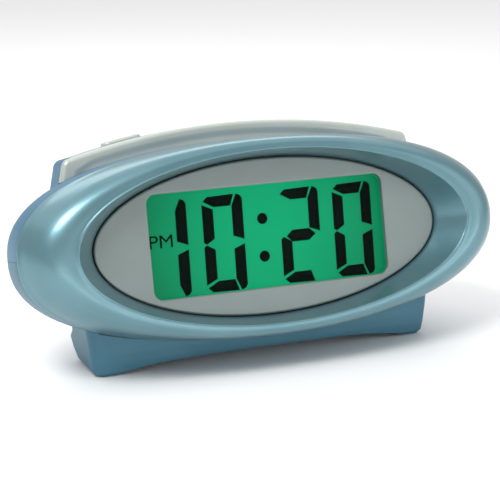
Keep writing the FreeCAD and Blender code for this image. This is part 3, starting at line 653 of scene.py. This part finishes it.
# %% The cap's front mesh
rows, columns = flat.shape[:2]
count = rows * columns
faces = []
for r in range(rows - 1):
    for c in range(columns - 1):
        quad = (r * columns + c, r * columns + c + 1, (r + 1) * columns + c + 1, (r + 1) * columns + c)
        faces += [quad, tuple(count + i for i in quad[::-1])]
rim_path = list(range(columns)) + [(rows - 1) * columns + c for c in range(columns - 1, -1, -1)]
faces += [(a, a + count, b + count, b) for a, b in zip(rim_path, rim_path[1:] + rim_path[:1])]
cap_points = np.concatenate([front_points.reshape(-1, 3), back_points.reshape(-1, 3)])
cap_mesh = bpy.data.meshes.new("cap_front")
cap_mesh.from_pydata(cap_points.tolist(), [], faces)
cap_mesh.materials.append(finishes["cap"])
turn_outward(cap_mesh)
print("cap front:", len(cap_mesh.vertices), "points")

# %% [markdown]
# The strip is a rounded bar swept along the arc. A boolean then opens the button's slot in it.

# %% The button's place
BUTTON_U, BUTTON_W = -44.9, -29.4
BUTTON_LONG, BUTTON_WIDE = 15.6, 5.6
BUTTON_RING = 96                              # points round the button
TILT = math.asin(-BUTTON_U / ARC_RADIUS)
BUTTON_MATRIX = (Matrix.Translation((BUTTON_U, arc_v(np.float64(BUTTON_U)), BUTTON_W))
                 @ Matrix.Rotation(TILT, 4, "Z"))


def pill_loop(grown, height):
    """A ring round the long button, grown outwards, at a height above the arc."""
    radius, straight = BUTTON_WIDE / 2 + grown, (BUTTON_LONG - BUTTON_WIDE) / 2
    turn = (np.arange(BUTTON_RING) + 0.5) / BUTTON_RING * math.tau
    x = radius * np.cos(turn) + np.sign(np.cos(turn)) * straight
    return np.stack([x, np.full(BUTTON_RING, height), -radius * np.sin(turn)], 1)


print("the button leans", round(math.degrees(TILT), 1), "degrees")

# %% Sweep the strip
STRIP_HALF_LENGTH, STRIP_STEPS = 65.9, 160
section = np.array([(-1.6, -22.7), (-0.05, -22.7), (0.0, -22.8), (0.0, -33.6), (-0.12, -33.88), (-0.4, -34.0),
                    (-1.6, -34.0)])
strip_loops = []
for u in np.linspace(-STRIP_HALF_LENGTH, STRIP_HALF_LENGTH, STRIP_STEPS):
    lean = math.asin(u / ARC_RADIUS)
    radii = ARC_RADIUS + section[:, 0]
    strip_loops.append(np.stack([radii * math.sin(lean), ARC_TOP - ARC_RADIUS + radii * math.cos(lean),
                                 section[:, 1]], 1))
strip_mesh = skin("cap_strip", strip_loops, "cap", closed=False)
print("strip:", len(strip_mesh.vertices), "points")

# %% Cut the slot
SLOT_PLAY = 0.25
cutter_mesh = skin("slot_cutter", [pill_loop(SLOT_PLAY, -6.0), pill_loop(SLOT_PLAY, 4.0)], "cap",
                   closed=False)
cutter_mesh.transform(BUTTON_MATRIX)
strip = bpy.data.objects.new("strip", strip_mesh)
cutter = bpy.data.objects.new("cutter", cutter_mesh)
for thing in (strip, cutter):
    scene.collection.objects.link(thing)
slot_cut = strip.modifiers.new("slot", "BOOLEAN")
slot_cut.operation, slot_cut.solver, slot_cut.object = "DIFFERENCE", "EXACT", cutter
strip_mesh = plain_mesh(strip)
bpy.data.objects.remove(cutter)


def merged(name, meshes, finish):
    """One mesh from several."""
    points, faces = [], []
    for mesh in meshes:
        faces += [tuple(i + len(points) for i in polygon.vertices) for polygon in mesh.polygons]
        points += [tuple(vertex.co) for vertex in mesh.vertices]
    whole = bpy.data.meshes.new(name)
    whole.from_pydata(points, [], faces)
    whole.materials.append(finishes[finish])
    return whole


settle(merged("silver_cap", [cap_mesh, strip_mesh], "cap"), "case", "cap_silver", "top_cap")

# %% [markdown]
# ## The raised button
# A long silver button stands in its slot near the left end of the cap. Its edge is rolled over, and it
# has a flange below the strip that keeps it in.

# %% The snooze button
BUTTON_ROLL, BUTTON_RISE = 0.9, 0.88          # breadth and height of the rolled edge
BUTTON_WALL, BUTTON_CROWN = 0.3, 1.195        # heights above the arc: where the roll starts, and the top
roll_steps = [(-1.0 + math.cos(t), math.sin(t)) for t in np.radians(np.linspace(0, 84, 9))]
button_loops = [pill_loop(0.19, -6.0), pill_loop(0.19, -4.95), pill_loop(0.0, -4.9)]
button_loops += [pill_loop(BUTTON_ROLL * out, BUTTON_WALL + BUTTON_RISE * up) for out, up in roll_steps]
button_loops.append(pill_loop(-1.3, BUTTON_CROWN))
button_mesh = skin("pill_button", button_loops, "cap", closed=False)
settle(button_mesh, "snooze_button", "button_silver", "snooze_button", matrix=FACE_MATRIX @ BUTTON_MATRIX)

# %% [markdown]
# ## Keys, screws and feet
# The four keys at the back are one stack of ovals with a shallow dish. The cover's screws are another,
# whose recess is the star that a low squareness gives.

# %% Rear keys
KEYS = {"hour_key": (40.0, 7.0), "minute_key": (50.0, 7.0), "time_key": (40.0, -5.0),
        "alarm_key": (50.0, -5.0)}                        # places across and up the face
ROUND_POINTS = 72                                         # points round a key or a foot


def round_rows(profile):
    """Rows for a round piece from its (radius, depth) profile."""
    return [(radius, radius, 2.0, depth) for radius, depth in profile]


dish = [(0.0, -46.45), (1.0, -46.5), (1.8, -46.64), (2.2, -46.76)]
edge = [(2.45, -46.79), (2.7, -46.72), (2.84, -46.55), (2.88, -46.3)]
stem_and_flange = [(2.88, -43.42), (3.0, -43.38), (3.65, -43.38), (3.65, -42.25), (0.0, -42.25)]
for name, (u, v) in KEYS.items():
    key_mesh = oval_piece(name + "_cap", round_rows(dish + edge + stem_and_flange), ROUND_POINTS, "key")
    settle(key_mesh, name, "key_grey", name, matrix=FACE_MATRIX @ Matrix.Translation((u, v, 0)))

# %% [markdown]
# One more tree sets copies of a grown piece on a few points. It serves the four screws and the feet.


# %% The scatter tree
def scatter_tree():
    graph, given = start_tree("scatter", [("Piece", "Object")])
    one = graph.add("GeometryNodeObjectInfo", {"transform_space": "ORIGINAL"}, output=4,
                    Object=given["Piece"])
    many = graph.add("GeometryNodeInstanceOnPoints", Points=given["Geometry"], Instance=one)
    return end_tree(graph, many, given["Material"])


scatter = scatter_tree()


def scattered(name, one_mesh, places, finish):
    """One mesh with a copy of the piece at every place."""
    one = bpy.data.objects.new("one", one_mesh)
    scene.collection.objects.link(one)
    seed = bpy.data.meshes.new("places")
    seed.from_pydata(places, [], [])
    mesh = grow(name, scatter, seed, Piece=one, Material=finishes[finish])
    bpy.data.objects.remove(one)
    return mesh


print("scatter tree has", len(scatter.nodes), "nodes")

# %% The cover's screws
STAR = 0.6                                                # squareness of the cross-head's recess
SCREW_ACROSS, SCREW_UP, SCREW_POINTS = 33.5, 17.2, 64
recess_rows = [(radius, radius, STAR, depth) for radius, depth in [(0.0, -42.3), (0.9, -42.35), (1.7, -43.3)]]
head = [(2.2, -43.46), (2.5, -43.4), (2.72, -43.2), (2.78, -42.9), (2.78, -41.55)]
shank = [(1.42, -41.53), (1.42, -30.9), (0.9, -30.55), (0.0, -30.55)]
screw = oval_piece("one_screw", recess_rows + round_rows(head + shank), SCREW_POINTS, "steel")
corners = [(u, v, 0.0) for u in (-SCREW_ACROSS, SCREW_ACROSS) for v in (-SCREW_UP, SCREW_UP)]
settle(scattered("rear_cover_screws", screw, corners, "steel"), "case", "screw_steel", "rear_screws")

# %% [markdown]
# The feet stand on the table's plane, so they are laid out in its frame. Each has a raised ring that
# grips and a hollow inside it.

# %% The feet
FOOT_RADIUS = 3.8
pad_low, pad_high = (np.array(corner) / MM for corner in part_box("foot_pads"))
pad_r, pad_top = FOOT_RADIUS - 0.02, float(pad_high[2]) - 0.01
hollow = [(0.0, 0.25), (2.3, 0.25)]
ring = [(2.6, 0.06), (2.9, 0.0), (3.3, 0.0), (3.6, 0.1)]
side = [(pad_r, 0.34), (pad_r, pad_top), (0.0, pad_top)]
pad = oval_piece("one_pad", round_rows(hollow + ring + side), ROUND_POINTS, "rubber")
pad_spots = [(x, y, 0.0) for x in (pad_low[0] + FOOT_RADIUS, pad_high[0] - FOOT_RADIUS)
             for y in (pad_low[1] + FOOT_RADIUS, pad_high[1] - FOOT_RADIUS)]
settle(scattered("rubber_feet", pad, pad_spots, "rubber"), "case", "pad_rubber", "foot_pads",
       matrix=Matrix.Scale(MM, 4))

# %% [markdown]
# ## The afternoon mark
# Two small letters beside the hour show morning or afternoon. They are set as type, turned to mesh,
# then narrowed to their box on the display.

# %% The mark
MARK_LOW, MARK_HIGH = np.array([-46.2, -0.5, -3.19]), np.array([-37.3, 4.15, -3.12])
type_curve = bpy.data.curves.new("mark", "FONT")
type_curve.body, type_curve.extrude, type_curve.resolution_u = "PM", 0.02, 6
type_thing = bpy.data.objects.new("mark", type_curve)
scene.collection.objects.link(type_thing)
mark_mesh = plain_mesh(type_thing)
mark_points = np.array([vertex.co for vertex in mark_mesh.vertices])
low, high = mark_points.min(0), mark_points.max(0)
mark_points = MARK_LOW + (mark_points - low) / (high - low) * (MARK_HIGH - MARK_LOW)
mark_mesh.vertices.foreach_set("co", mark_points.ravel())
mark_mesh.name = "afternoon_mark"
mark_mesh.materials.clear()
mark_mesh.materials.append(finishes["segment"])
mark_mesh.transform(FACE_MATRIX)
mark = bpy.data.objects.new("afternoon_mark", mark_mesh)
scene.collection.objects.link(mark)
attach(mark, "case")
print("mark:", len(mark_mesh.polygons), "faces")

# %% [markdown]
# ## Dressing the other nodes
# The shells, the rear cover and the works keep their CAD shape and only need a finish. The battery
# door and the slider also get a small bevel, because their edges show at the back.

# %% Materials for the CAD nodes
DRESS = {
    "upper": ["upper_shell"], "lower": ["lower_shell"], "rear": ["rear_cover", "battery_door"],
    "lens": ["display_lens"], "segment": ["lcd_segments"], "lit": ["lcd_cell"],
    "black": ["lcd_holder", "controller_chip", "piezo_sounder", "snooze_switch", "alarm_switch_body",
              "alarm_slider", "key_switches"],
    "frosted": ["backlight_guide", "backlight_leds"], "rubber": ["zebra_strips"],
    "board": ["main_board", "key_board", "snooze_board"], "sleeve": ["battery_cells", "capacitors"],
    "steel": ["quartz_crystal", "board_screws", "case_screws", "battery_springs", "battery_contacts",
              "key_board_screws"],
    "lead": ["battery_leads", "sounder_leads"], "ribbon": ["key_ribbon"],
}
for finish, names in DRESS.items():
    for name in names:
        node = nodes[name]
        node.data.materials.clear()
        node.data.materials.append(finishes[finish])
print("dressed", sum(len(names) for names in DRESS.values()), "nodes")

# %% Soft edges
for name, width in [("battery_door", 0.3), ("alarm_slider", 0.2)]:
    bevel = nodes[name].modifiers.new("soft_edges", "BEVEL")
    bevel.width, bevel.segments = width * MM, 3
    bevel.limit_method, bevel.angle_limit = "ANGLE", math.radians(40)
    bevel.use_clamp_overlap = True
    print("soft edges on", name)

# %% [markdown]
# ## Floor and light
# A pale floor and soft light: a broad lamp above on the left draws the long highlight on the bezel, a
# weaker one on the right opens the shadows, a low one in front lights the bezel's lower roll, and one
# behind lifts the cap from the background. A wide soft sun overhead keeps the far floor pale.


# %% The floor
def pale_floor():
    material, graph, shader, place = start_material("pale_floor")
    shade = noise(graph, place, 60.0)
    colour = blend_colour(graph, shade, rgb(246, 246, 246), rgb(244, 244, 244))
    graph.feed(shader.inputs["Base Color"], colour)
    shader.inputs["Roughness"].default_value = 0.6
    return material


FLOOR_HALF = 3.0                              # metres
floor_mesh = bpy.data.meshes.new("floor")
floor_corners = [(x * FLOOR_HALF, y * FLOOR_HALF, 0) for x, y in [(-1, -1), (1, -1), (1, 1), (-1, 1)]]
floor_mesh.from_pydata(floor_corners, [], [(0, 1, 2, 3)])
floor_mesh.materials.append(pale_floor())
floor = bpy.data.objects.new("floor", floor_mesh)
scene.collection.objects.link(floor)
print("floor:", 2 * FLOOR_HALF, "m across")

# %% World and lamps
world = bpy.data.worlds.new("world")
world.use_nodes = True
world.node_tree.nodes["Background"].inputs["Color"].default_value = (1.0, 1.0, 1.0, 1.0)
world.node_tree.nodes["Background"].inputs["Strength"].default_value = 0.52
scene.world = world
LAMPS_AIM = Vector((0.0, 0.0, 0.05))


def soft_lamp(name, place, size, power):
    """A rectangular lamp, aimed at the clock's middle."""
    lamp = bpy.data.objects.new(name, bpy.data.lights.new(name, "AREA"))
    lamp.data.shape, lamp.data.size, lamp.data.size_y = "RECTANGLE", *size
    lamp.data.energy = power
    lamp.location = place
    lamp.rotation_mode = "QUATERNION"
    lamp.rotation_quaternion = (LAMPS_AIM - Vector(place)).to_track_quat("-Z", "Y")
    scene.collection.objects.link(lamp)
    return lamp


lamps = [soft_lamp("key_lamp", (-0.45, -0.35, 0.75), (0.4, 0.3), 5.5),
         soft_lamp("fill_lamp", (0.8, -0.55, 0.4), (0.6, 0.6), 1.2),
         soft_lamp("low_lamp", (0.2, -0.85, 0.03), (1.5, 0.16), 2.6),
         soft_lamp("back_lamp", (0.1, 0.7, 0.6), (0.9, 0.3), 1.5)]
sky = bpy.data.objects.new("overhead", bpy.data.lights.new("overhead", "SUN"))
sky.data.energy, sky.data.angle = 1.1, math.radians(100)
sky.rotation_euler = (math.radians(-18), 0, 0)
scene.collection.objects.link(sky)
lamps.append(sky)
print("stage:", floor.name, [lamp.name for lamp in lamps])
